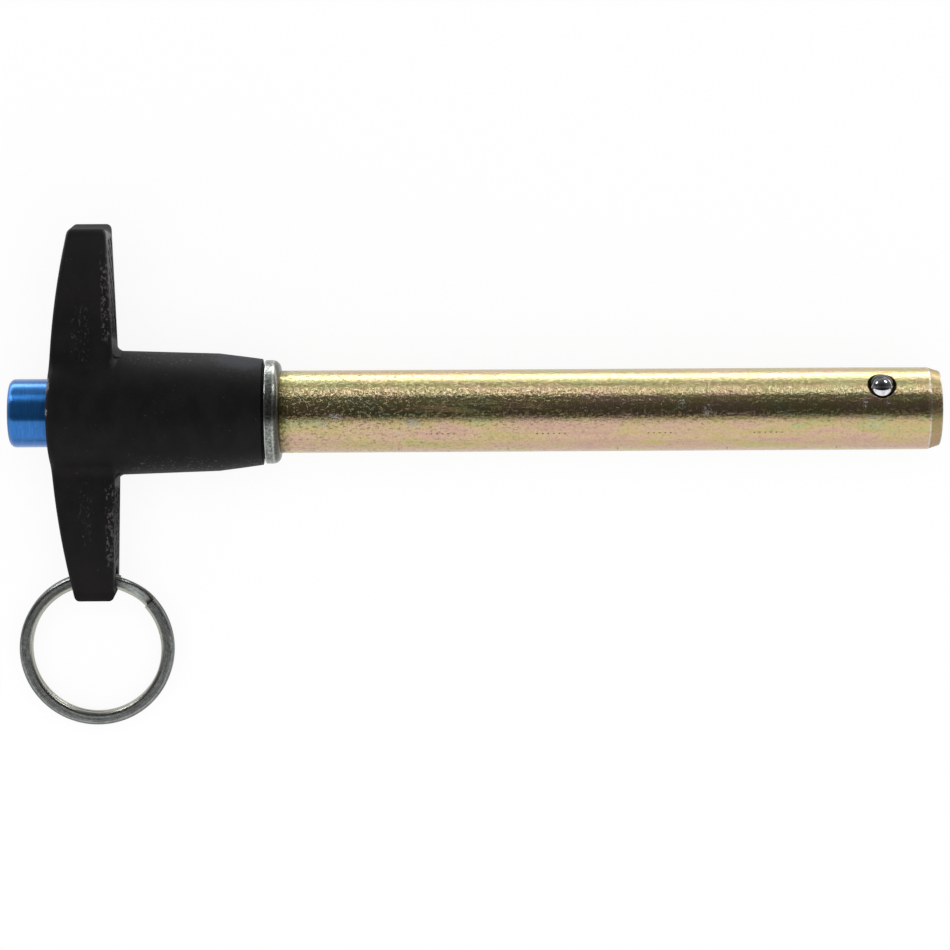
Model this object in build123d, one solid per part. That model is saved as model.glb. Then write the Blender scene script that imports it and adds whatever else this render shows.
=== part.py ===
"""Ball lock pin with a T-handle, a push button and a split ring.

Every piece is built on the pin's own axis: X runs from the shoulder to the tip, the T-bar lies
along Y and Z is square to it. At the end the whole pin is rolled about X onto its ring-side arm,
which is how it rests on a table. Lengths are in millimetres and angles in degrees.
"""
import os
from math import atan, cos, degrees, radians, sin, sqrt, tan

from build123d import *

# fits
running_gap = 0.05
seat_gap = 0.02

# shank
shank_r = 6.335
tip_x = 101.2
nose_length = 1.9
nose_drop = 0.66
nose_edge_r = 0.25
stub_step = 0.335
stub_rear_x = -20.0
stub_chamfer = 0.5
step_depth = 0.15
bore_end_x = 99.1
knurl_count = 24
knurl_depth = 0.3
knurl_from_x = -17.0
knurl_to_x = -5.0
grip_length = 88.9
nose_relief = 0.03

# locking balls
ball_r = 3.96875 / 2
ball_x = 91.9
ball_stands_out = 1.2
ball_sinks_under = 0.035
ball_angle = 43.0
ball_angles = (ball_angle, ball_angle + 180.0)
lip_mouth_over_ball = 0.2
lip_depth = 0.25

# collar
collar_step = 1.64
collar_thickness = 2.4
collar_edge_r = 1.3
collar_rear_edge = 0.2

# handle neck and hub
neck_over_collar = 0.125
neck_bulge_x = -6.3
neck_bulge_rise = 0.54
neck_break_x = -9.5
neck_break_rise = 0.95
hub_rise = 1.43
hub_ends_x = -24.0
neck_seat_width = 1.2
neck_gap = 0.4
neck_edge_r = 0.2

# handle cross bar
bar_half_length = 28.75
bar_thickness = 10.2
bar_corner_r = 1.0
bar_front_x = -25.1
bar_front_slope = 1.8
bar_back_x = -35.4
bar_back_sag = 3.5
bar_edge_r = 0.8
hub_root_r = 3.0
neck_root_r = 1.6
neck_root_taper = 1.9
neck_root_sink = 0.06
neck_root_inside = 0.5
neck_into_bar = 3.0

# moulded diamonds on the two finger faces of the cross bar
grip_border = 1.0
grip_near_hub = 2.6
grip_pitch = 2.12
grip_groove_half_width = 0.4
grip_groove_depth = 0.3

# button and its bore
button_r = 5.27
button_end_x = -42.0
button_edge_r = 1.0
button_dome = 0.35
lip_inner_x = -33.2
lip_edge = 0.3
flange_thickness = 1.6
boss_step = 0.45
boss_length = 3.6
press_travel = 4.0

# spindle
land_under_ball = 0.045
bore_gap = 0.08
waist_under_ball = 0.13
spindle_tail_r = 2.0
spindle_tail_length = 7.0
spindle_front_x = 94.9
spindle_front_chamfer = 0.4
waist_flat = 0.6
waist_rear_ramp = 2.3
ramp_clearance = 0.02

# return spring
spring_wire_r = 0.45
spring_side_gap = 0.55
spring_turns = 6.0

# split ring and its hole
ring_outer_r = 12.0
ring_wire_width = 2.0
ring_wire_height = 1.15
ring_wire_corner = 0.55
ring_turn_gap = 0.1
ring_end_angle = 41.0
ring_crossing = 30.0
ring_crossing_stations = 6
ring_hole_r = 2.0
ring_hole_from_end = 2.85
ring_hole_behind_middle = 0.65
ring_hangs_below_hole = 0.05

# rest
rest_roll = 9.0

# how far a cutting body runs past the face it cuts, and how near a picked corner or edge lies
past = 1.0
near = 0.1
touching = 0.002

# sizes that follow from those above
stub_r = shank_r - stub_step
collar_r = shank_r + collar_step
neck_mouth_r = collar_r + neck_over_collar
neck_bulge_r = neck_mouth_r + neck_bulge_rise
neck_break_r = neck_mouth_r + neck_break_rise
neck_seat_r = stub_r + neck_seat_width
hub_r = neck_mouth_r + hub_rise
handle_front_x = -collar_thickness
flange_r = stub_r - 1.5 * running_gap
lip_bore_r = button_r + running_gap
flange_back_x = lip_inner_x
flange_front_x = flange_back_x + flange_thickness
ball_out = shank_r + ball_stands_out - ball_r
ball_in = shank_r - ball_sinks_under - ball_r
ball_travel = ball_out - ball_in
ball_seat_r = ball_r + seat_gap
lip_mouth_r = ball_r + lip_mouth_over_ball
spindle_land_r = ball_out - ball_r - land_under_ball
spindle_waist_r = ball_in - ball_r - waist_under_ball
bore_r = spindle_land_r + bore_gap
boss_r = spindle_land_r + boss_step
spring_mean_r = stub_r - spring_side_gap - spring_wire_r
ramp_angle = degrees(atan(ball_travel / press_travel))
ring_mean_r = ring_outer_r - ring_wire_width / 2
boss_front_x = flange_front_x + boss_length
spindle_back_x = boss_front_x - spindle_tail_length
bar_back_end_x = bar_back_x + bar_back_sag
back_r = (bar_half_length**2 + bar_back_sag**2) / (2 * bar_back_sag)
back_centre_x = bar_back_x + back_r
ring_x = (bar_back_end_x + bar_front_x) / 2 - ring_hole_behind_middle
ring_hole_y = ring_hole_from_end - bar_half_length
ring_centre_y = ring_hole_y - ring_hangs_below_hole - ring_mean_r


def turned(profile):
    """Turn a closed outline, given in X and radius, about the pin's axis."""
    return revolve(make_face(profile), Axis.X)


def outline(*points):
    """A closed outline of straight sides through points of X and radius."""
    return Polyline(*points, close=True)


def towards(angle):
    """The place on the ball's plane whose Z points outwards, at an angle from Z to Y."""
    return Location((ball_x, 0, 0)) * Rot(-angle, 0, 0)


def ball_seat():
    """The drilled pocket of one ball with its staked lip, along Z from the pin's axis."""
    drilled = Pos(0, 0, ball_out / 2) * Cylinder(ball_seat_r, ball_out)
    seat = Pos(0, 0, ball_out) * Sphere(ball_seat_r)
    mouth = Pos(0, 0, shank_r) * Cone(
        lip_mouth_r - lip_depth, lip_mouth_r + lip_depth, 2 * lip_depth
    )
    return drilled + seat + mouth


def make_shank():
    section = make_face(
        outline(
            (stub_rear_x, bore_r),
            (stub_rear_x, stub_r - stub_chamfer),
            (stub_rear_x + stub_chamfer, stub_r),
            (-step_depth, stub_r),
            (-step_depth, shank_r),
            (grip_length, shank_r),
            (tip_x - nose_length, shank_r - nose_relief),
            (tip_x, shank_r - nose_drop),
            (tip_x, 0),
            (bore_end_x, 0),
            (bore_end_x, bore_r),
        )
    )
    nose_corners = [v for v in section.vertices() if v.X > grip_length + past and v.Y > bore_r + near]
    body = revolve(fillet(nose_corners, nose_edge_r), Axis.X)
    for angle in ball_angles:
        body -= towards(angle) * ball_seat()
    knurl_length = knurl_to_x - knurl_from_x
    tooth = Polyline(
        (stub_r - knurl_depth, 0),
        (stub_r + knurl_depth, -2 * knurl_depth),
        (stub_r + knurl_depth, 2 * knurl_depth),
        close=True,
    )
    groove = extrude(Plane.YZ * make_face(tooth), knurl_length)
    for turn in range(knurl_count):
        body -= Pos(knurl_from_x, 0, 0) * Rot(360 * turn / knurl_count, 0, 0) * groove
    return body


def make_collar():
    section = make_face(
        outline(
            (-collar_thickness, stub_r),
            (-collar_thickness, collar_r),
            (0, collar_r),
            (0, shank_r),
            (-step_depth, shank_r),
            (-step_depth, stub_r),
        )
    )
    front_corner = [v for v in section.vertices() if v.Y > shank_r + near and v.X > -near]
    section = fillet(front_corner, collar_edge_r)
    rim_corners = [v for v in section.vertices() if v.Y > collar_r - touching]
    rear_corner = min(rim_corners, key=lambda v: v.X)
    section = fillet(rear_corner, collar_rear_edge)
    return revolve(section, Axis.X)


def on_front(point):
    """Whether a point lies on one of the two sloping front faces of the cross bar."""
    front_x = bar_front_x - abs(point.Y) * tan(radians(bar_front_slope))
    return abs(point.X - front_x) < touching


def on_back(point):
    """Whether a point lies on the arched back face of the handle."""
    return abs(sqrt((point.X - back_centre_x) ** 2 + point.Y**2) - back_r) < touching


def edges_where(body, test):
    """The edges of a body that meet a test at both ends and in the middle."""
    return [e for e in body.edges() if all(test(e @ u) for u in (0.02, 0.5, 0.98))]


def make_neck_root():
    """The two rounded webs that blend the neck into the finger faces of the cross bar."""
    foot_x = bar_front_x - hub_r * tan(radians(bar_front_slope)) - neck_root_sink
    foot_r = hub_r - neck_root_sink
    arc = RadiusArc(
        (foot_x, foot_r + neck_root_r), (foot_x + neck_root_r, foot_r), -neck_root_r
    )
    sides = Polyline(
        (foot_x + neck_root_r, foot_r),
        (foot_x + neck_root_r, foot_r - neck_root_inside),
        (foot_x - neck_root_inside, foot_r - neck_root_inside),
        (foot_x - neck_root_inside, foot_r + neck_root_r),
        (foot_x, foot_r + neck_root_r),
    )
    flare = turned(arc + sides)
    foot_z = bar_thickness / 2 - bar_edge_r
    wedge = Polyline(
        (foot_x - neck_root_inside, foot_z),
        (foot_x, foot_z),
        (foot_x + neck_root_r, foot_z - neck_root_taper),
        (foot_x + neck_root_r, neck_root_taper - foot_z),
        (foot_x, -foot_z),
        (foot_x - neck_root_inside, -foot_z),
        close=True,
    )
    return flare & extrude(Plane.XZ * make_face(wedge), 2 * hub_r, both=True)


def make_grip(side):
    """The crossed grooves that leave raised diamonds on one finger face of the cross bar."""
    face_place = Plane(
        (bar_front_x, 0, 0),
        x_dir=(-sin(radians(bar_front_slope)), side * cos(radians(bar_front_slope)), 0),
        z_dir=(cos(radians(bar_front_slope)), side * sin(radians(bar_front_slope)), 0),
    )
    inner_end = hub_r + grip_near_hub
    outer_end = bar_half_length - bar_edge_r - grip_border
    if side < 0:
        outer_end = -ring_hole_y - ring_hole_r - grip_border
    height = bar_thickness - 2 * (bar_edge_r + grip_border)
    middle = (inner_end + outer_end) / 2
    field = Pos(middle, 0, 0) * Box(outer_end - inner_end, height, 2 * past)
    groove_profile = Polyline(
        (0, -grip_groove_depth),
        (2 * grip_groove_half_width, grip_groove_depth),
        (-2 * grip_groove_half_width, grip_groove_depth),
        close=True,
    )
    reach = outer_end - inner_end + height
    groove = extrude(Plane.YZ * make_face(groove_profile), reach / 2, both=True)
    count = int(reach / 2 / sqrt(2) / grip_pitch) + 1
    rows = [Pos(0, step * grip_pitch, 0) * groove for step in range(-count, count + 1)]
    crossed = [Rot(0, 0, slant) * row for slant in (45, -45) for row in rows]
    lattice = Pos(middle, 0, 0) * (Part() + crossed)
    return face_place * (field & lattice)


def make_handle():
    bar_front_end_x = bar_front_x - bar_half_length * tan(radians(bar_front_slope))
    back = ThreePointArc(
        (bar_back_end_x, bar_half_length), (bar_back_x, 0), (bar_back_end_x, -bar_half_length)
    )
    sides = Polyline(
        (bar_back_end_x, -bar_half_length),
        (bar_front_end_x, -bar_half_length),
        (bar_front_x, 0),
        (bar_front_end_x, bar_half_length),
        (bar_back_end_x, bar_half_length),
    )
    side_view = extrude(make_face(back + sides), 2 * hub_r, both=True)

    end_view = Rectangle(2 * bar_half_length, bar_thickness) + Circle(hub_r)
    roots = [v for v in end_view.vertices() if abs(v.X) < hub_r]
    end_view = fillet(roots, hub_root_r)
    corners = [v for v in end_view.vertices() if abs(v.X) > bar_half_length - near]
    end_view = fillet(corners, bar_corner_r)
    behind = Plane((bar_back_x - past, 0, 0), x_dir=(0, 1, 0), z_dir=(1, 0, 0))
    bar = extrude(behind * end_view, bar_front_x - bar_back_x + 2 * past) & side_view

    neck_start = (handle_front_x, neck_mouth_r)
    neck_curve = Spline(
        neck_start, (neck_bulge_x, neck_bulge_r), (neck_break_x, neck_break_r)
    )
    neck_rest = Polyline(
        (neck_break_x, neck_break_r),
        (hub_ends_x, hub_r),
        (bar_front_x - neck_into_bar, hub_r),
        (bar_front_x - neck_into_bar, 0),
        (handle_front_x, 0),
        neck_start,
    )
    neck_section = make_face(neck_curve + neck_rest)
    mouth_corner = [v for v in neck_section.vertices() if v.Y > near and v.X > handle_front_x - near]
    neck_section = fillet(mouth_corner, neck_edge_r)
    body = bar + revolve(neck_section, Axis.X)
    body = fillet(edges_where(body, on_front), bar_edge_r)
    body = fillet(edges_where(body, on_back), bar_edge_r)
    body += make_neck_root()
    for side in (1, -1):
        body -= make_grip(side)

    body -= turned(
        outline(
            (-collar_thickness, 0),
            (lip_inner_x, 0),
            (lip_inner_x, stub_r),
            (-collar_thickness, stub_r),
        )
    )
    body -= turned(
        outline(
            (lip_inner_x, 0),
            (bar_back_x - past, 0),
            (bar_back_x - past, lip_bore_r + lip_edge + past),
            (bar_back_x + lip_edge, lip_bore_r),
            (lip_inner_x, lip_bore_r),
        )
    )
    body -= turned(
        outline(
            (handle_front_x, neck_seat_r),
            (handle_front_x - neck_gap, neck_seat_r),
            (handle_front_x - neck_gap, neck_mouth_r + past),
            (handle_front_x, neck_mouth_r + past),
        )
    )
    body -= Pos(ring_x, ring_hole_y, 0) * Rot(0, 90, 0) * Cylinder(ring_hole_r, 2 * bar_thickness)
    return body


def make_button():
    edge_x = button_end_x + button_dome
    dome = ThreePointArc(
        (edge_x, button_r),
        (button_end_x, 0),
        (edge_x, -button_r),
    )
    half = Line((edge_x, -button_r), (edge_x, button_r))
    cap = revolve(split(make_face(dome + half), Plane.XZ), Axis.X)
    rest = turned(
        outline(
            (edge_x, 0),
            (edge_x, button_r),
            (flange_back_x, button_r),
            (flange_back_x, flange_r),
            (flange_front_x, flange_r),
            (flange_front_x, boss_r),
            (boss_front_x, boss_r),
            (boss_front_x, 0),
        )
    )
    body = cap + rest
    rim = edges_where(body, lambda p: abs(p.X - edge_x) < touching)
    body = fillet(rim, button_edge_r)
    tapped = turned(
        outline(
            (spindle_back_x, 0),
            (spindle_back_x, spindle_tail_r),
            (boss_front_x, spindle_tail_r),
            (boss_front_x, 0),
        )
    )
    return body - tapped


def make_spindle():
    slope = tan(radians(ramp_angle))
    touch_r = ball_out - ball_r * cos(radians(ramp_angle))
    ramp_top_x = ball_x + ball_r * sin(radians(ramp_angle))
    ramp_top_x -= (touch_r - spindle_land_r) / slope
    ramp_top_x -= ramp_clearance / sin(radians(ramp_angle))
    ramp_foot_x = ramp_top_x - (spindle_land_r - spindle_waist_r) / slope
    return turned(
        outline(
            (spindle_back_x, 0),
            (spindle_back_x, spindle_tail_r),
            (boss_front_x, spindle_tail_r),
            (boss_front_x, spindle_land_r),
            (ramp_foot_x - waist_flat - waist_rear_ramp, spindle_land_r),
            (ramp_foot_x - waist_flat, spindle_waist_r),
            (ramp_foot_x, spindle_waist_r),
            (ramp_top_x, spindle_land_r),
            (spindle_front_x - spindle_front_chamfer, spindle_land_r),
            (spindle_front_x, spindle_land_r - spindle_front_chamfer),
            (spindle_front_x, 0),
        )
    )


def make_spring():
    start_x = flange_front_x + spring_wire_r + seat_gap
    length = stub_rear_x - spring_wire_r - seat_gap - start_x
    coil = Helix(length / spring_turns, length, spring_mean_r)
    wire = sweep(Plane(coil @ 0, z_dir=coil % 0) * Circle(spring_wire_r), coil)
    return Pos(start_x, 0, 0) * Rot(0, 90, 0) * wire


def make_ball(angle):
    return towards(angle) * Pos(0, 0, ball_out) * Sphere(ball_r)


def ring_section(height):
    """The wire's section on the ring's radius, square to the turn, at one height."""
    section = RectangleRounded(ring_wire_width, ring_wire_height, ring_wire_corner)
    return Plane((ring_mean_r, 0, height), x_dir=(1, 0, 0), z_dir=(0, -1, 0)) * section


def make_split_ring():
    layer = (ring_wire_height + ring_turn_gap) / 2
    turn_arc = 360 - ring_crossing
    top = revolve(ring_section(layer), Axis.Z, turn_arc)
    bottom = revolve(ring_section(-layer), Axis.Z, turn_arc)
    stations = []
    for step in range(ring_crossing_stations + 1):
        part_way = step / ring_crossing_stations
        drop = layer * cos(radians(180 * part_way))
        stations.append(Rot(0, 0, -ring_crossing * part_way) * ring_section(drop))
    crossing = loft(stations)
    turns = Rot(0, 0, ring_end_angle + ring_crossing) * (top + bottom + crossing)
    return Pos(ring_x, ring_centre_y, 0) * turns


pieces = {
    "handle": make_handle(),
    "shank": make_shank(),
    "collar": make_collar(),
    "button": make_button(),
    "spindle": make_spindle(),
    "return_spring": make_spring(),
    "ball_upper": make_ball(ball_angles[0]),
    "ball_lower": make_ball(ball_angles[1]),
    "split_ring": make_split_ring(),
}

os.makedirs("parts", exist_ok=True)
for node, piece in pieces.items():
    resting = Rot(rest_roll, 0, 0) * piece
    resting.label = node
    export_step(resting, "parts/" + node + ".step")
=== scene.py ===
"""Finish, light and camera of a ball lock pin with a T-handle.

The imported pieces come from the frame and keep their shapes. The pin lies along X with its shoulder
at the origin, its cross bar runs along Y, and it rests on a floor that the camera looks down on.
Lengths are in metres, and patterns on the pieces are laid out in millimetres.

The finishes are built from shader nodes: a function that takes a tree adds nodes to it and gives
back a socket. Wherever it takes a socket, a plain number will do as well.
"""

from math import cos, pi, radians, sin

import bmesh
import bpy
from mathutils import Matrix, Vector


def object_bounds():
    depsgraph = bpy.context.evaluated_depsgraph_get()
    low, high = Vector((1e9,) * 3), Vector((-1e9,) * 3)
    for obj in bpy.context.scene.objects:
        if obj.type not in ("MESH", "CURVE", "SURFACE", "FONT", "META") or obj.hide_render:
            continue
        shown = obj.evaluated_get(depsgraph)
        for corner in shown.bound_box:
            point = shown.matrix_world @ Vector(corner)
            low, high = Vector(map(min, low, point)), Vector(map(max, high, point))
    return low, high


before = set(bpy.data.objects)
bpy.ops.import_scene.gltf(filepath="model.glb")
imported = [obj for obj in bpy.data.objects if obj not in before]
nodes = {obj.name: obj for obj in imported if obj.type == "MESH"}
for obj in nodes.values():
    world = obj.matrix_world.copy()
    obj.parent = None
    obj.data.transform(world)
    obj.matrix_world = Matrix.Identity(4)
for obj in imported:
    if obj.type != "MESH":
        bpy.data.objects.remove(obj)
cad_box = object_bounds()

MM = 0.001

# places along the pin and on it, in millimetres, as the pin rests
SHANK_R = 6.335
BALL_X = 91.9
BALL_TURN = radians(34)
BALL_REACH = 5.55
BAR_ROLL = radians(9)
NOSE_FROM_X = 99.3
NOSE_TO_X = 101.1
COLLAR_REAR_X = -2.32
COLLAR_ROUND_X = -1.05
PARTING_X = -29.9
BUTTON_EDGE_X = -41.9
RING_CENTRE = (-29.15, -36.495, -5.780)

# lines along the shank, in millimetres round it from the top, positive towards -Y
# the line of a painted reflection, a darker band
REFLECTION_STRIPE_LINE = -4.7
# the line where glints are painted on the peel, with painted shade between them
GLINT_LINE = -2.75
PIT_LINE = 3.84
TICK_LINE = 7.7

# rows of pits and single ticks that repeat along the shank
PIT_ROWS_FROM_X = 22.3
PIT_ROW_PITCH = 16.6
TICKS_FROM_X = 26.46
TICK_PITCH = 16.78

# the gloss of turned metal is drawn out along the pin
TURNED_STRETCH = 0.93
QUARTER_TURN = 0.25
SHANK_ROUGHNESS = 0.33


# ---------------------------------------------------------------- node helpers

def fill(tree, socket, value):
    """Link a socket to another one, or set its value."""
    if isinstance(value, bpy.types.NodeSocket):
        tree.links.new(value, socket)
    else:
        socket.default_value = value


def math_node(tree, operation, *values, clamp=False):
    node = tree.nodes.new("ShaderNodeMath")
    node.operation = operation
    node.use_clamp = clamp
    for socket, value in zip(node.inputs, values):
        fill(tree, socket, value)
    return node.outputs[0]


def vector_node(tree, operation, first, second=None, scale=None):
    node = tree.nodes.new("ShaderNodeVectorMath")
    node.operation = operation
    fill(tree, node.inputs[0], first)
    if second is not None:
        fill(tree, node.inputs[1], second)
    if scale is not None:
        fill(tree, node.inputs["Scale"], scale)
    return node.outputs["Value" if operation == "LENGTH" else "Vector"]


def mix_colour(tree, factor, first, second):
    node = tree.nodes.new("ShaderNodeMix")
    node.data_type = "RGBA"
    for index, value in ((0, factor), (6, first), (7, second)):
        fill(tree, node.inputs[index], value)
    return node.outputs[2]


def ease(tree, value, low, high, to_low=0.0, to_high=1.0):
    """A value eased from one range to another, and held outside it."""
    node = tree.nodes.new("ShaderNodeMapRange")
    node.interpolation_type = "SMOOTHSTEP"
    for socket, number in zip(node.inputs, (value, low, high, to_low, to_high)):
        fill(tree, socket, number)
    return node.outputs[0]


def fade(tree, value, full, none, level=1.0):
    """A level held up to one value, which fades out by the next."""
    return ease(tree, value, full, none, level, 0.0)


def scaled(tree, vector, scale):
    """The vector with each axis scaled, for a pattern drawn out along one of them."""
    return vector_node(tree, "MULTIPLY", vector, scale)


def noise(tree, vector, detail=2.0, roughness=0.5, distortion=0.0):
    node = tree.nodes.new("ShaderNodeTexNoise")
    tree.links.new(vector, node.inputs["Vector"])
    node.inputs["Scale"].default_value = 1.0
    node.inputs["Detail"].default_value = detail
    node.inputs["Roughness"].default_value = roughness
    node.inputs["Distortion"].default_value = distortion
    return node.outputs[0]


def in_millimetres(tree):
    """Where a point lies on the resting pin."""
    coordinates = tree.nodes.new("ShaderNodeTexCoord")
    return vector_node(tree, "SCALE", coordinates.outputs["Object"], scale=1 / MM)


def split_axes(tree, vector):
    node = tree.nodes.new("ShaderNodeSeparateXYZ")
    tree.links.new(vector, node.inputs[0])
    return node.outputs


def join_axes(tree, x, y, z):
    node = tree.nodes.new("ShaderNodeCombineXYZ")
    for socket, value in zip(node.inputs, (x, y, z)):
        fill(tree, socket, value)
    return node.outputs[0]


def ramp(tree, value, stops):
    node = tree.nodes.new("ShaderNodeValToRGB")
    tree.links.new(value, node.inputs[0])
    elements = node.color_ramp.elements
    while len(elements) < len(stops):
        elements.new(0.5)
    for element, (position, colour) in zip(elements, stops):
        element.position = position
        element.color = colour
    return node.outputs[0]


def total(tree, first, *others):
    for other in others:
        first = math_node(tree, "ADD", first, other)
    return first


def product(tree, first, *others):
    for other in others:
        first = math_node(tree, "MULTIPLY", first, other)
    return first


def largest(tree, values):
    first, *others = values
    for other in others:
        first = math_node(tree, "MAXIMUM", first, other)
    return first


def size_of(tree, value):
    """The value without its sign."""
    return math_node(tree, "ABSOLUTE", value)


def off(tree, value, centre):
    """How far a value lies from a centre, to either side."""
    return size_of(tree, math_node(tree, "SUBTRACT", value, centre))


def rgb(red, green, blue):
    """A colour given in the 0 to 255 steps of a colour card, as linear light."""
    def linear(step):
        value = step / 255
        return value / 12.92 if value <= 0.04045 else ((value + 0.055) / 1.055) ** 2.4
    return (linear(red), linear(green), linear(blue), 1.0)


def new_material(name, metallic, roughness):
    material = bpy.data.materials.new(name)
    material.use_nodes = True
    tree = material.node_tree
    shader = tree.nodes["Principled BSDF"]
    shader.inputs["Metallic"].default_value = metallic
    shader.inputs["Roughness"].default_value = roughness
    return material, tree, shader


def tint(tree, colour, mask, share, target):
    """The colour drawn towards a target by a share of the mask."""
    return mix_colour(tree, math_node(tree, "MULTIPLY", mask, share), colour, target)


def turned(tree, shader):
    """Draw the gloss out along the X axis, across the marks that turning leaves round it."""
    shader.inputs["Anisotropic"].default_value = TURNED_STRETCH
    shader.inputs["Anisotropic Rotation"].default_value = QUARTER_TURN
    tangent = tree.nodes.new("ShaderNodeTangent")
    tangent.direction_type = "RADIAL"
    tangent.axis = "X"
    tree.links.new(tangent.outputs[0], shader.inputs["Tangent"])


def relief(tree, shader, height):
    """Bump the surface by a height in millimetres."""
    node = tree.nodes.new("ShaderNodeBump")
    node.inputs["Strength"].default_value = 1.0
    node.inputs["Distance"].default_value = MM
    tree.links.new(height, node.inputs["Height"])
    tree.links.new(node.outputs[0], shader.inputs["Normal"])


# ---------------------------------------------------------------- shared effects

def start_group(name, inputs, outputs):
    """A shader node group with named sockets; gives the group, its input sockets and its end."""
    group = bpy.data.node_groups.new(name, "ShaderNodeTree")
    for label, kind, value in inputs:
        socket = group.interface.new_socket(label, in_out="INPUT", socket_type=kind)
        socket.default_value = value
    for label, kind in outputs:
        group.interface.new_socket(label, in_out="OUTPUT", socket_type=kind)
    start = group.nodes.new("NodeGroupInput")
    end = group.nodes.new("NodeGroupOutput")
    return group, start.outputs, end.inputs


def use(tree, group, **values):
    """Place a group in a material with its own values, and give its outputs."""
    node = tree.nodes.new("ShaderNodeGroup")
    node.node_tree = group
    for name, value in values.items():
        fill(tree, node.inputs[name], value)
    return node.outputs


def make_round_the_pin():
    """Where a point lies round the pin's axis, with the angle 0 on top and growing towards -Y."""
    group, given, result = start_group(
        "round_the_pin",
        [("Place", "NodeSocketVector", (0, 0, 0))],
        [("Along", "NodeSocketFloat"), ("Angle", "NodeSocketFloat"), ("Reach", "NodeSocketFloat")],
    )
    x, y, z = split_axes(group, given["Place"])
    group.links.new(x, result["Along"])
    towards_ring = math_node(group, "MULTIPLY", y, -1.0)
    group.links.new(math_node(group, "ARCTAN2", towards_ring, z), result["Angle"])
    reach = vector_node(group, "LENGTH", join_axes(group, 0.0, y, z))
    group.links.new(reach, result["Reach"])
    return group


def make_patches():
    """Soft-edged blotches."""
    group, given, result = start_group(
        "patches",
        [("Place", "NodeSocketVector", (0, 0, 0)), ("From", "NodeSocketFloat", 0.5),
         ("To", "NodeSocketFloat", 0.6)],
        [("Mask", "NodeSocketFloat")],
    )
    cloud = noise(group, given["Place"], 3.0, 0.6)
    group.links.new(ease(group, cloud, given["From"], given["To"]), result["Mask"])
    return group


def make_spot():
    """A ragged spot round one place."""
    group, given, result = start_group(
        "spot",
        [("Place", "NodeSocketVector", (0, 0, 0)), ("Centre", "NodeSocketVector", (0, 0, 0)),
         ("Size", "NodeSocketVector", (1, 1, 1)), ("Ragged", "NodeSocketFloat", 0.3)],
        [("Mask", "NodeSocketFloat")],
    )
    away = vector_node(group, "SUBTRACT", given["Place"], given["Centre"])
    away = vector_node(group, "LENGTH", vector_node(group, "DIVIDE", away, given["Size"]))
    cloud = noise(group, given["Place"], 4.0, 0.65)
    cloud = math_node(group, "SUBTRACT", cloud, 0.5)
    away = math_node(group, "MULTIPLY_ADD", cloud, given["Ragged"], away)
    group.links.new(fade(group, away, 0.55, 1.0), result["Mask"])
    return group


def make_hairlines():
    """Thin wandering lines, broken into short lengths."""
    group, given, result = start_group(
        "hairlines",
        [("Place", "NodeSocketVector", (0, 0, 0)), ("Width", "NodeSocketFloat", 0.02),
         ("Amount", "NodeSocketFloat", 0.5)],
        [("Mask", "NodeSocketFloat")],
    )
    field = noise(group, given["Place"], 2.0, 0.5, 0.6)
    line = fade(group, off(group, field, 0.5), 0.0, given["Width"])
    moved = vector_node(group, "ADD", given["Place"], (13.1, 7.7, 3.3))
    cloud = noise(group, scaled(group, moved, (0.6, 0.6, 0.6)), 2.0)
    start = math_node(group, "SUBTRACT", 1.0, given["Amount"])
    kept = ease(group, cloud, start, math_node(group, "ADD", start, 0.08))
    group.links.new(product(group, line, kept), result["Mask"])
    return group


round_the_pin = make_round_the_pin()
patches = make_patches()
spot = make_spot()
hairlines = make_hairlines()


def blotches(tree, place, scale, low, high):
    """Patches that start at a low level of a noise and are full at a high one."""
    return use(tree, patches, Place=scaled(tree, place, scale), From=low, To=high)["Mask"]


def spots(tree, place, *rows):
    """Ragged spots, each row with its centre, its size and how ragged it is."""
    return largest(tree, [
        use(tree, spot, Place=place, Centre=centre, Size=size, Ragged=ragged)["Mask"]
        for centre, size, ragged in rows
    ])


# ---------------------------------------------------------------- finishes

def chromate_gold(tree, place, wrapped, round_mm, fine, peel, along):
    """Gold that drifts in long patches, with a fine grain and a darker orange peel."""
    drift = noise(tree, scaled(tree, wrapped, (0.11, 0.55, 0.1)), 4.0, 0.62, 0.6)
    # greener round the top, and three large patches of pink and green
    drift = total(tree, drift, ease(tree, round_mm, 1.2, 4.2, 0.06, -0.015))
    pink = spots(tree, wrapped, ((56.5, 4.0, SHANK_R), (13, 4.5, 9), 0.9))
    green = spots(tree, wrapped, ((94.5, 2.6, SHANK_R), (8, 3.0, 9), 0.9))
    rosy = spots(tree, wrapped, ((84.0, 5.2, SHANK_R), (9, 2.6, 9), 0.9))
    drift = total(tree, drift, product(tree, pink, -0.06), product(tree, green, 0.06),
                  product(tree, rosy, -0.08))
    colour = ramp(tree, drift, (
        (0.35, rgb(206, 166, 154)),
        (0.43, rgb(208, 176, 152)),
        (0.50, rgb(206, 180, 146)),
        (0.56, rgb(204, 180, 130)),
        (0.62, rgb(190, 184, 126)),
        (0.72, rgb(186, 186, 144)),
    ))
    colour = mix_colour(tree, ease(tree, fine, 0.38, 0.68, 0.0, 0.4), colour, rgb(206, 190, 140))
    grain = noise(tree, scaled(tree, place, (5.0, 5.0, 5.0)), 2.0, 0.6)
    colour = mix_colour(tree, ease(tree, grain, 0.35, 0.75, 0.0, 0.22), colour, rgb(130, 106, 80))
    # the hollows of the peel are darker towards the collar
    hollow = fade(tree, peel, 0.36, 0.52)
    colour = tint(tree, colour, hollow, ease(tree, along, 5.0, 60.0, 0.24, 0.15), rgb(112, 92, 66))
    # a painted reflection: a long, darker and greener band on the far side
    painted_reflection_stripe = fade(tree, off(tree, round_mm, REFLECTION_STRIPE_LINE), 0.5, 1.25)
    return tint(tree, colour, painted_reflection_stripe, ease(tree, fine, 0.3, 0.6, 0.65, 0.35), rgb(126, 130, 84))


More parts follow.
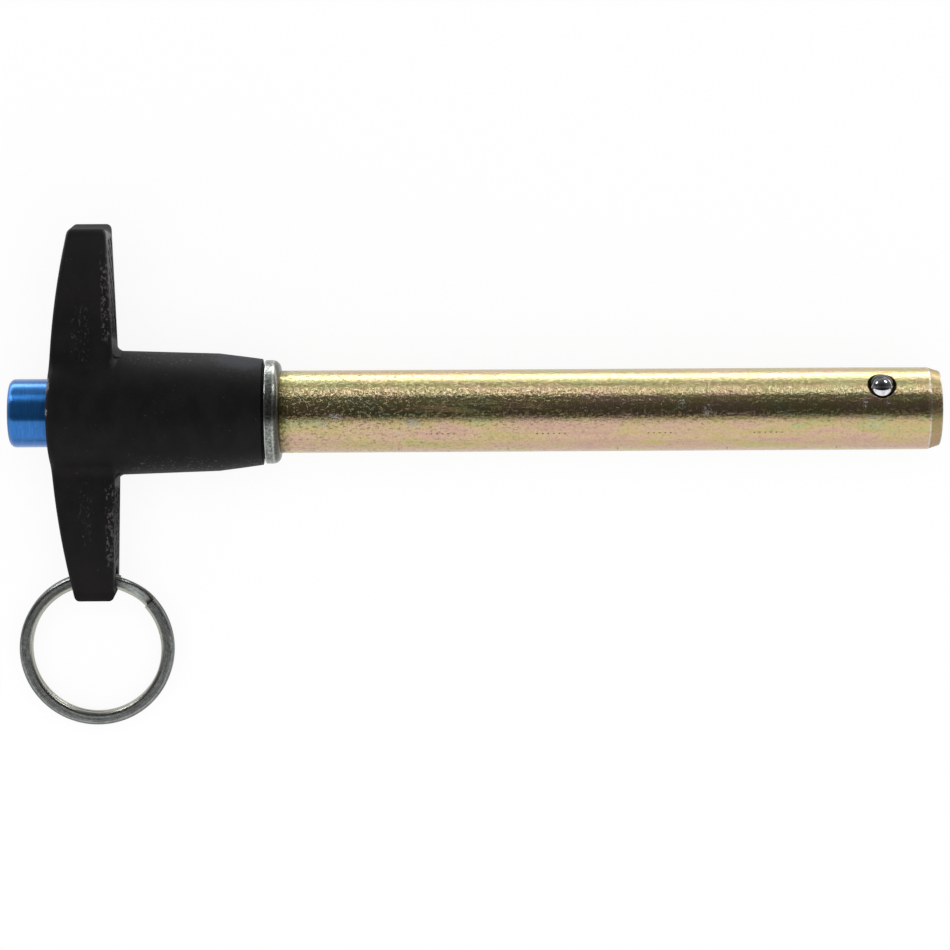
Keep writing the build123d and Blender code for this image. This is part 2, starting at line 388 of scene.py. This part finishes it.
def rubbed_in_holes(tree, wrapped):
    """Small scrapes and long hairlines where the pin has rubbed in its holes."""
    web = use(tree, hairlines, Place=scaled(tree, wrapped, (2.6, 3.4, 0.2)), Width=0.07,
              Amount=0.62)["Mask"]
    scrapes = spots(
        tree, wrapped,
        ((8.4, 1.0, SHANK_R), (1.5, 0.8, 9), 0.5),
        ((6.4, 2.1, SHANK_R), (1.2, 0.9, 9), 0.5),
        ((20.3, 2.0, SHANK_R), (1.6, 0.8, 9), 0.5),
        ((61.3, -0.7, SHANK_R), (0.9, 0.9, 9), 0.5),
        ((65.2, 0.1, SHANK_R), (0.9, 1.1, 9), 0.5),
        ((89.3, -0.8, SHANK_R), (0.5, 1.2, 9), 0.5),
        ((92.8, -0.8, SHANK_R), (0.4, 1.0, 9), 0.5),
        ((90.4, 1.4, SHANK_R), (1.3, 0.4, 9), 0.5),
    )
    scrapes = product(tree, scrapes, web)
    rubs = use(tree, hairlines, Place=scaled(tree, wrapped, (0.5, 2.4, 0.1)), Width=0.02,
               Amount=0.42)["Mask"]
    return math_node(tree, "MAXIMUM", scrapes, product(tree, rubs, 0.35), clamp=True)


def rows_of_pits(tree, wrapped, along, line):
    """Short rows of tiny pits on one line, between the collar and the balls."""
    step = math_node(tree, "SUBTRACT", along, PIT_ROWS_FROM_X)
    step = math_node(tree, "DIVIDE", step, PIT_ROW_PITCH)
    in_row = fade(tree, math_node(tree, "FRACT", step), 0.27, 0.31)
    beads = math_node(tree, "SINE", product(tree, along, 7.4))
    beads = total(tree, beads, noise(tree, scaled(tree, wrapped, (2.0, 0, 0)), 2.0))
    pits = product(tree, line, in_row, ease(tree, beads, 0.95, 1.3))
    return product(tree, pits, ease(tree, along, 20, 22), fade(tree, along, 80, 82))


def single_ticks(tree, along, round_mm):
    """Short cross marks at one pitch, low on the ring side."""
    turn = math_node(tree, "DIVIDE", math_node(tree, "SUBTRACT", along, TICKS_FROM_X), TICK_PITCH)
    tick = fade(tree, off(tree, math_node(tree, "FRACT", turn), 0.5), 0.004, 0.010)
    return product(tree, tick, fade(tree, off(tree, round_mm, TICK_LINE), 0.3, 0.6))


def ball_hole_shade_and_dirt(tree, place):
    """Dark rings in the mouths of the two ball holes: painted shade in the gap round each ball, with
    oily grime.
    """
    from_ball = vector_node(tree, "SUBTRACT", place, (BALL_X, 0, 0))
    across = vector_node(tree, "CROSS_PRODUCT", from_ball, (0, sin(BALL_TURN), cos(BALL_TURN)))
    return fade(tree, vector_node(tree, "LENGTH", across), 2.16, 2.30)


def yellow_chromate():
    """Yellow zinc plating: gold that drifts to green and pink, on fine turning marks."""
    material, tree, shader = new_material("yellow_chromate", 1.0, SHANK_ROUGHNESS)
    place = in_millimetres(tree)
    pin = use(tree, round_the_pin, Place=place)
    along = pin["Along"]
    round_mm = product(tree, pin["Angle"], SHANK_R)
    wrapped = join_axes(tree, along, round_mm, pin["Reach"])
    fine = noise(tree, scaled(tree, wrapped, (0.7, 2.6, 0.3)), 4.0, 0.65)
    peel = noise(tree, scaled(tree, wrapped, (2.6, 3.0, 0.3)), 2.0, 0.55, 0.8)
    colour = chromate_gold(tree, place, wrapped, round_mm, fine, peel, along)

    # one line along the top, on the side of the lamps, where the peel is coarser: glints are painted
    # on its crests and shade in its hollows
    glint_line = fade(tree, off(tree, round_mm, GLINT_LINE), 0.25, 1.3)
    coarse = noise(tree, scaled(tree, wrapped, (2.3, 2.1, 0.3)), 1.5, 0.5, 0.9)
    strength = product(tree, glint_line, ease(tree, along, 5.0, 70.0, 0.7, 0.42))
    painted_glint = ease(tree, coarse, 0.50, 0.60)
    painted_trough_shade = fade(tree, coarse, 0.40, 0.49)
    colour = tint(tree, colour, strength, painted_glint, rgb(244, 222, 194))
    colour = tint(tree, colour, strength, painted_trough_shade, rgb(124, 102, 74))

    # grey specks where the plating is thin, closer together towards the collar
    thin = blotches(tree, wrapped, (1.5, 2.6, 0.3), 0.53, 0.66)
    thin = product(tree, thin, ease(tree, along, 0.0, 60.0, 1.0, 0.55))
    colour = tint(tree, colour, thin, 0.3, rgb(168, 164, 148))

    # olive stain against the collar
    cloudy = ease(tree, blotches(tree, place, (1.9, 1.9, 1.9), 0.46, 0.56), 0.0, 1.0, 0.35, 0.8)
    stain = product(tree, fade(tree, along, 0.2, 2.0), cloudy)
    colour = mix_colour(tree, stain, colour, rgb(108, 104, 52))

    worn = rubbed_in_holes(tree, wrapped)
    colour = mix_colour(tree, worn, colour, rgb(214, 222, 222))

    # ticks, then a faint lengthwise line with its rows of pits
    colour = tint(tree, colour, single_ticks(tree, along, round_mm), 0.6, rgb(110, 84, 74))
    line = fade(tree, off(tree, round_mm, PIT_LINE), 0.02, 0.11)
    pits = rows_of_pits(tree, wrapped, along, line)
    colour = tint(tree, colour, line, 0.10, rgb(140, 100, 84))
    colour = tint(tree, colour, pits, 0.8, rgb(84, 50, 40))

    # bare worn edges of the nose
    edges = largest(tree, [fade(tree, off(tree, along, edge_x), 0.05, 0.24)
                           for edge_x in (NOSE_FROM_X, NOSE_TO_X)])
    broken = ease(tree, noise(tree, scaled(tree, place, (1.6, 1.6, 1.6)), 3.0), 0.34, 0.56)
    colour = mix_colour(tree, product(tree, edges, broken, 0.8), colour, rgb(206, 204, 196))

    # painted shade in the gaps round the balls, with oily grime, nearly black in the mouths of the
    # holes
    hole_shade_and_dirt = ball_hole_shade_and_dirt(tree, place)
    colour = tint(tree, colour, hole_shade_and_dirt, 0.97, rgb(20, 17, 16))
    tree.links.new(colour, shader.inputs["Base Color"])

    # a streaky smear of grease, a light haze and a duller nose
    smear = spots(tree, wrapped, ((31, -0.3, SHANK_R), (15, 1.2, 9), 0.6))
    streaks = noise(tree, scaled(tree, wrapped, (0.12, 3.2, 0.1)), 3.0, 0.6)
    smear = product(tree, smear, ease(tree, streaks, 0.47, 0.56), 0.5)
    haze = noise(tree, scaled(tree, wrapped, (0.4, 1.2, 0.1)), 4.0, 0.7)
    haze = ease(tree, haze, 0.5, 0.75, 0.0, 0.10)
    on_nose = ease(tree, along, NOSE_FROM_X, NOSE_FROM_X + 0.2)
    rough = total(tree, SHANK_ROUGHNESS, product(tree, worn, 0.4), product(tree, stain, 0.2),
                  smear, haze, product(tree, hole_shade_and_dirt, 0.35), product(tree, thin, 0.28),
                  product(tree, on_nose, 0.3))
    tree.links.new(rough, shader.inputs["Roughness"])

    # fine slanting cells, the peel, the coarser peel on the glint line, the pits and the rubbing,
    # all calmer in the painted shade and grime of the ball holes
    slant = math_node(tree, "MULTIPLY_ADD", round_mm, 0.07, along)
    cell_place = join_axes(tree, product(tree, slant, 3.0), product(tree, round_mm, 0.26), 0.0)
    cells = noise(tree, cell_place, 2.0, 0.6, 0.1)
    coarse = product(tree, coarse, glint_line, ease(tree, along, 5.0, 70.0, 0.13, 0.09))
    height = total(tree, coarse, product(tree, cells, 0.07), product(tree, peel, 0.03),
                   product(tree, pits, -0.05), product(tree, worn, 0.01),
                   product(tree, thin, 0.02))
    relief(tree, shader, product(tree, height, ease(tree, hole_shade_and_dirt, 0.0, 0.5, 1.0, 0.1)))
    turned(tree, shader)
    return material


def dull_zinc():
    """Plain zinc plating, mottled and slightly rough, with bright lines at its edges, and painted
    shade on its front rounding and next to the shank.
    """
    material, tree, shader = new_material("dull_zinc", 1.0, 0.30)
    place = in_millimetres(tree)
    pin = use(tree, round_the_pin, Place=place)
    speckle = noise(tree, scaled(tree, place, (2.6, 2.6, 2.6)), 3.0, 0.65)
    colour = ramp(tree, speckle, (
        (0.34, rgb(80, 85, 80)),
        (0.48, rgb(116, 120, 115)),
        (0.60, rgb(140, 144, 139)),
        (0.70, rgb(176, 181, 179)),
    ))
    # painted shade on the rounding at the nose side, and bright lines at both edges of the flat
    front_painted_shade = ease(tree, pin["Along"], -1.0, -0.65, 0.0, 0.8)
    colour = mix_colour(tree, front_painted_shade, colour, rgb(66, 62, 48))
    for edge_x, share in ((COLLAR_REAR_X, 0.6), (COLLAR_ROUND_X, 0.3)):
        band = fade(tree, off(tree, pin["Along"], edge_x), 0.05, 0.2, share)
        colour = mix_colour(tree, band, colour, rgb(214, 217, 214))
    # painted shade on the face close to the shank, where the two meet
    inner_painted_light = fade(tree, pin["Reach"], SHANK_R + 0.15, SHANK_R + 0.7, 0.75)
    colour = mix_colour(tree, inner_painted_light, colour, rgb(60, 56, 40))
    tree.links.new(colour, shader.inputs["Base Color"])
    relief(tree, shader, product(tree, speckle, 0.016))
    return material


def black_moulding():
    """Black moulded plastic with a fine grain, a parting line and grey scuffs."""
    material, tree, shader = new_material("black_moulding", 0.0, 0.6)
    place = in_millimetres(tree)
    x, y, _ = split_axes(tree, place)
    out_from_pin = size_of(tree, y)
    on_arms = ease(tree, out_from_pin, 10.0, 12.0)
    grain = noise(tree, scaled(tree, place, (3.0, 3.0, 3.0)), 3.0, 0.6)
    cloud = noise(tree, scaled(tree, place, (0.35, 0.2, 0.35)), 3.0, 0.6)
    colour = mix_colour(tree, ease(tree, cloud, 0.35, 0.65), rgb(14, 13, 14), rgb(20, 18, 19))
    colour = mix_colour(tree, ease(tree, out_from_pin, 8.0, 30.0, 0.0, 0.5), colour,
                        rgb(31, 29, 30))

    # scuffs on both arms and on the neck, and single pale specks
    scuffs = spots(
        tree, place,
        ((-30.2, 12.2, 6.0), (1.9, 6.0, 6), 0.9),
        ((-30.0, -15.6, 3.0), (1.4, 6.5, 6), 0.9),
        ((-6.5, 6.6, 6.6), (4.6, 2.4, 3), 0.7),
        ((-20.0, 8.4, 6.0), (6.0, 1.6, 4), 0.9),
        ((-25.2, 9.0, 3.4), (1.4, 0.9, 3), 0.6),
    )
    scuffs = product(tree, scuffs, blotches(tree, place, (3.2, 1.7, 3.2), 0.55, 0.66))
    colour = tint(tree, colour, scuffs, 0.22, rgb(92, 90, 92))
    specks = blotches(tree, place, (2.1, 2.1, 2.1), 0.71, 0.74)
    colour = tint(tree, colour, specks, 0.3, rgb(100, 98, 98))

    # chalky specks along both flanks of the neck
    chalk = blotches(tree, place, (2.6, 2.6, 2.6), 0.59, 0.68)
    flank = ease(tree, out_from_pin, 6.2, 8.8)
    chalk = product(tree, chalk, flank, ease(tree, x, -25.0, -21.0), 0.5)
    colour = mix_colour(tree, chalk, colour, rgb(112, 110, 112))

    # pale flecks along the front edges of the arms
    flecks = blotches(tree, place, (2.2, 1.5, 2.2), 0.50, 0.60)
    front_edge = product(tree, ease(tree, x, -27.1, -26.7), fade(tree, out_from_pin, 22.0, 25.0))
    flecks = product(tree, flecks, front_edge, on_arms, 0.36)
    colour = mix_colour(tree, flecks, colour, rgb(104, 100, 100))

    # two nicks beside the button, and a bluish highlight painted on the neck near its mouth
    nicks = spots(tree, place,
                  ((-35.33, 4.1, 8.0), (0.62, 1.6, 5), 0.5),
                  ((-35.5, 0.0, 8.5), (0.6, 0.8, 5), 0.5))
    nicks = product(tree, nicks, ease(tree, grain, 0.40, 0.56, 0.15, 0.8))
    colour = mix_colour(tree, nicks, colour, rgb(168, 164, 164))
    neck_painted_highlight = spots(tree, place, ((-6.0, 8.2, 2.0), (5.5, 2.6, 8), 0.5))
    colour = tint(tree, colour, neck_painted_highlight, 0.6, rgb(56, 58, 68))
    tree.links.new(colour, shader.inputs["Base Color"])

    # duller on the ends of the bar and on the front of its arms
    rough = largest(tree, [
        total(tree, 0.52, product(tree, cloud, 0.1), product(tree, scuffs, 0.2)),
        ease(tree, out_from_pin, 26.5, 28.0, 0.0, 0.95),
        product(tree, on_arms, ease(tree, x, -26.2, -25.4, 0.0, 0.9)),
    ])
    tree.links.new(rough, shader.inputs["Roughness"])
    shader.inputs["Specular IOR Level"].default_value = 0.1

    parting = fade(tree, off(tree, x, PARTING_X), 0.0, 0.16, 0.014)
    on_hub = fade(tree, out_from_pin, 9.0, 12.0)
    relief(tree, shader, total(tree, product(tree, grain, 0.022), product(tree, parting, on_hub),
                               product(tree, scuffs, 0.012)))
    return material


def blue_anodised():
    """Blue anodised aluminium with turning marks, darker along the edge of its end."""
    material, tree, shader = new_material("blue_anodised", 0.86, 0.32)
    place = in_millimetres(tree)
    pin = use(tree, round_the_pin, Place=place)
    turning = noise(tree, scaled(tree, place, (7.0, 0.5, 0.5)), 3.0, 0.6)
    colour = mix_colour(tree, ease(tree, turning, 0.35, 0.65), rgb(36, 102, 174),
                        rgb(44, 116, 188))
    rim = fade(tree, off(tree, pin["Along"], BUTTON_EDGE_X), 0.1, 0.6, 0.55)
    colour = mix_colour(tree, rim, colour, rgb(24, 62, 116))
    nicks = blotches(tree, place, (1.8, 1.8, 1.8), 0.70, 0.73)
    colour = tint(tree, colour, nicks, 0.4, rgb(170, 196, 220))
    tree.links.new(colour, shader.inputs["Base Color"])
    relief(tree, shader, product(tree, turning, 0.006))
    shader.inputs["Coat Weight"].default_value = 0.30
    shader.inputs["Coat Roughness"].default_value = 0.1
    turned(tree, shader)
    return material


def chrome_ball():
    """Polished bearing steel with faint smears, and dark colour at the far side of its seat: painted
    shade, with an oily film.
    """
    material, tree, shader = new_material("chrome_ball", 1.0, 0.05)
    place = in_millimetres(tree)
    smear = blotches(tree, place, (1.5, 1.5, 1.5), 0.45, 0.65)
    colour = mix_colour(tree, smear, rgb(222, 222, 226), rgb(196, 196, 202))
    # the far half is painted dark, darkest round the flank: painted shade in the seat, with an oily
    # film
    x, y, _ = split_axes(tree, place)
    sideways = math_node(tree, "SUBTRACT", x, BALL_X)
    outwards = math_node(tree, "SUBTRACT", y, BALL_REACH * sin(BALL_TURN))
    ragged = noise(tree, scaled(tree, place, (1.6, 1.6, 1.6)), 2.0)
    flank = vector_node(tree, "LENGTH", join_axes(tree, sideways, outwards, 0.0))
    flank = math_node(tree, "MULTIPLY_ADD", ragged, 0.3, flank)
    seat_shade_and_oil = product(tree, ease(tree, flank, 1.45, 1.75, 0.6, 1.0), ease(tree, outwards, 0.0, 0.3))
    colour = mix_colour(tree, seat_shade_and_oil, colour, rgb(24, 22, 24))
    tree.links.new(colour, shader.inputs["Base Color"])
    tree.links.new(ease(tree, smear, 0.0, 1.0, 0.03, 0.08), shader.inputs["Roughness"])
    return material


def ground_steel(name, light, dark, roughness):
    """Steel ground or drawn, with fine lines round it."""
    material, tree, shader = new_material(name, 1.0, roughness)
    place = in_millimetres(tree)
    lines = noise(tree, scaled(tree, place, (9.0, 0.6, 0.6)), 3.0, 0.6)
    colour = mix_colour(tree, ease(tree, lines, 0.35, 0.65), dark, light)
    tree.links.new(colour, shader.inputs["Base Color"])
    relief(tree, shader, product(tree, lines, 0.01))
    return material


def nickel_wire():
    """Dull nickel-plated wire, drawn lengthwise, with a pale highlight painted on the side towards
    the ring's centre and painted shade along its outside edge.
    """
    material, tree, shader = new_material("nickel_wire", 1.0, 0.30)
    place = in_millimetres(tree)
    from_centre = vector_node(tree, "SUBTRACT", place, RING_CENTRE)
    x, y, z = split_axes(tree, from_centre)
    in_plane = math_node(tree, "DIVIDE", y, cos(BAR_ROLL))
    angle = math_node(tree, "ARCTAN2", in_plane, x)
    reach = vector_node(tree, "LENGTH", join_axes(tree, x, in_plane, 0.0))
    run = join_axes(tree, product(tree, angle, 1.4), product(tree, reach, 5.0), z)
    drawn = noise(tree, run, 3.0, 0.6)
    blotch = noise(tree, scaled(tree, place, (1.3, 1.3, 1.3)), 3.0, 0.6)
    colour = mix_colour(tree, ease(tree, drawn, 0.35, 0.65), rgb(134, 138, 138), rgb(170, 173, 170))
    colour = mix_colour(tree, ease(tree, blotch, 0.42, 0.7, 0.0, 0.5), colour, rgb(112, 116, 112))
    specks = blotches(tree, place, (3.4, 3.4, 3.4), 0.52, 0.62)
    colour = tint(tree, colour, specks, 0.4, rgb(88, 92, 84))
    # a pale, yellowish highlight painted on the side towards the ring's centre
    inner_painted_light = fade(tree, reach, 10.1, 10.7, 0.6)
    colour = mix_colour(tree, inner_painted_light, colour, rgb(184, 183, 168))
    # painted shade along the outside edge of the wire
    outer_painted_shade = ease(tree, reach, 11.65, 11.95, 0.0, 0.65)
    colour = mix_colour(tree, outer_painted_shade, colour, rgb(72, 74, 70))
    tree.links.new(colour, shader.inputs["Base Color"])
    relief(tree, shader, total(tree, product(tree, drawn, 0.02), product(tree, blotch, 0.02)))
    return material


finishes = {
    "shank": yellow_chromate(),
    "collar": dull_zinc(),
    "handle": black_moulding(),
    "button": blue_anodised(),
    "spindle": ground_steel("ground_steel", rgb(176, 174, 170), rgb(130, 128, 124), 0.25),
    "return_spring": ground_steel("oiled_wire", rgb(118, 118, 124), rgb(76, 76, 82), 0.35),
    "ball_upper": chrome_ball(),
    "ball_lower": chrome_ball(),
    "split_ring": nickel_wire(),
}
for node, finish in finishes.items():
    nodes[node].data.materials.clear()
    nodes[node].data.materials.append(finish)


# ---------------------------------------------------------------- floor, light and camera

FLOOR_Z = cad_box[0][2]
GLOW_SHARE = 0.9
AIM = (0.03, 0, 0)

# two strips low on the far side, with a gap between them at the cross bar
STRIP_Y = 0.050
STRIP_WIDTH = 0.044
STRIP_ABOVE_FLOOR = 0.001


def area_light(name, centre, target, width, height, radiance, glossy=True, diffuse=True):
    """A flat lamp that faces a target; radiance is its face's brightness, where 1 is white."""
    lamp = bpy.data.lights.new(name, "AREA")
    lamp.shape = "RECTANGLE"
    lamp.size = width
    lamp.size_y = height
    lamp.energy = radiance * pi * width * height
    light = bpy.data.objects.new(name, lamp)
    bpy.context.scene.collection.objects.link(light)
    light.location = centre
    light.rotation_euler = (Vector(centre) - Vector(target)).to_track_quat("Z", "Y").to_euler()
    light.visible_camera = False
    light.visible_glossy = glossy
    light.visible_diffuse = diffuse


def floor_material():
    """White that stays white in the view and in the metal, and still takes a soft shadow."""
    material, tree, shader = new_material("white_floor", 0.0, 0.9)
    shader.inputs["Base Color"].default_value = (0.93, 0.93, 0.93, 1)
    shader.inputs["Specular IOR Level"].default_value = 0.0
    glow = tree.nodes.new("ShaderNodeEmission")
    glow.inputs["Color"].default_value = (1, 1, 1, 1)
    glow.inputs["Strength"].default_value = 1.0
    path = tree.nodes.new("ShaderNodeLightPath")
    direct = largest(tree, [path.outputs[kind] for kind in (
        "Is Camera Ray", "Is Glossy Ray", "Is Transmission Ray")])
    mixer = tree.nodes.new("ShaderNodeMixShader")
    tree.links.new(product(tree, direct, GLOW_SHARE), mixer.inputs[0])
    tree.links.new(shader.outputs[0], mixer.inputs[1])
    tree.links.new(glow.outputs[0], mixer.inputs[2])
    tree.links.new(mixer.outputs[0], tree.nodes["Material Output"].inputs["Surface"])
    return material


def make_floor():
    mesh = bpy.data.meshes.new("floor")
    shape = bmesh.new()
    bmesh.ops.create_grid(shape, x_segments=1, y_segments=1, size=3.0)
    bmesh.ops.translate(shape, verts=shape.verts, vec=(0, 0, FLOOR_Z))
    shape.to_mesh(mesh)
    shape.free()
    floor = bpy.data.objects.new("floor", mesh)
    bpy.context.scene.collection.objects.link(floor)
    mesh.materials.append(floor_material())


def make_world():
    """A room that is dim overhead, paler towards the horizon and darkest on the near side."""
    world = bpy.data.worlds.new("studio")
    bpy.context.scene.world = world
    world.use_nodes = True
    tree = world.node_tree
    coordinates = tree.nodes.new("ShaderNodeTexCoord")
    x, y, up = split_axes(tree, coordinates.outputs["Generated"])
    sky = ramp(tree, up, (
        (0.0, (0.60, 0.60, 0.60, 1)),
        (0.30, (0.50, 0.50, 0.50, 1)),
        (0.62, (0.22, 0.22, 0.22, 1)),
        (0.85, (0.08, 0.08, 0.08, 1)),
        (1.0, (0.055, 0.055, 0.055, 1)),
    ))
    far_side = ease(tree, y, -0.30, 0.10, 0.12, 1.0)
    sides = ease(tree, size_of(tree, x), 0.45, 0.9, 1.0, 0.45)
    background = tree.nodes["Background"]
    tree.links.new(sky, background.inputs["Color"])
    tree.links.new(product(tree, far_side, sides), background.inputs["Strength"])


def make_lights():
    area_light("main_softbox", (0.03, -0.604, 0.355), AIM, width=6.0, height=0.87, radiance=1.07)
    for name, centre in (
        ("lamp_left", (-0.42, 0.50, 0.30)),
        ("lamp_right", (0.42, 0.52, 0.31)),
    ):
        area_light(name, centre, AIM, width=0.24, height=0.18, radiance=8.0, diffuse=False)
    for name, centre_x, length in (
        ("low_strip_shank", 0.099, 0.242),
        ("low_strip_button", -0.097, 0.12),
    ):
        centre = (centre_x, STRIP_Y, FLOOR_Z + STRIP_ABOVE_FLOOR)
        straight_up = (centre_x, STRIP_Y, 1)
        area_light(name, centre, straight_up, width=length, height=STRIP_WIDTH, radiance=5.0,
                   diffuse=False)
    area_light("overhead_fill", (0.03, 0, 0.9), AIM, width=1.2, height=1.2, radiance=1.9,
               glossy=False)


def make_camera():
    camera_data = bpy.data.cameras.new("camera")
    camera = bpy.data.objects.new("camera", camera_data)
    bpy.context.scene.collection.objects.link(camera)
    camera_data.sensor_width = 36
    camera_data.lens = 139.77
    camera.location = (0.029735, -0.00990, 0.5679)
    camera.rotation_euler = (0, 0, -0.0057)
    bpy.context.scene.camera = camera


make_floor()
make_world()
make_lights()
make_camera()
bpy.context.scene.view_settings.view_transform = "Standard"
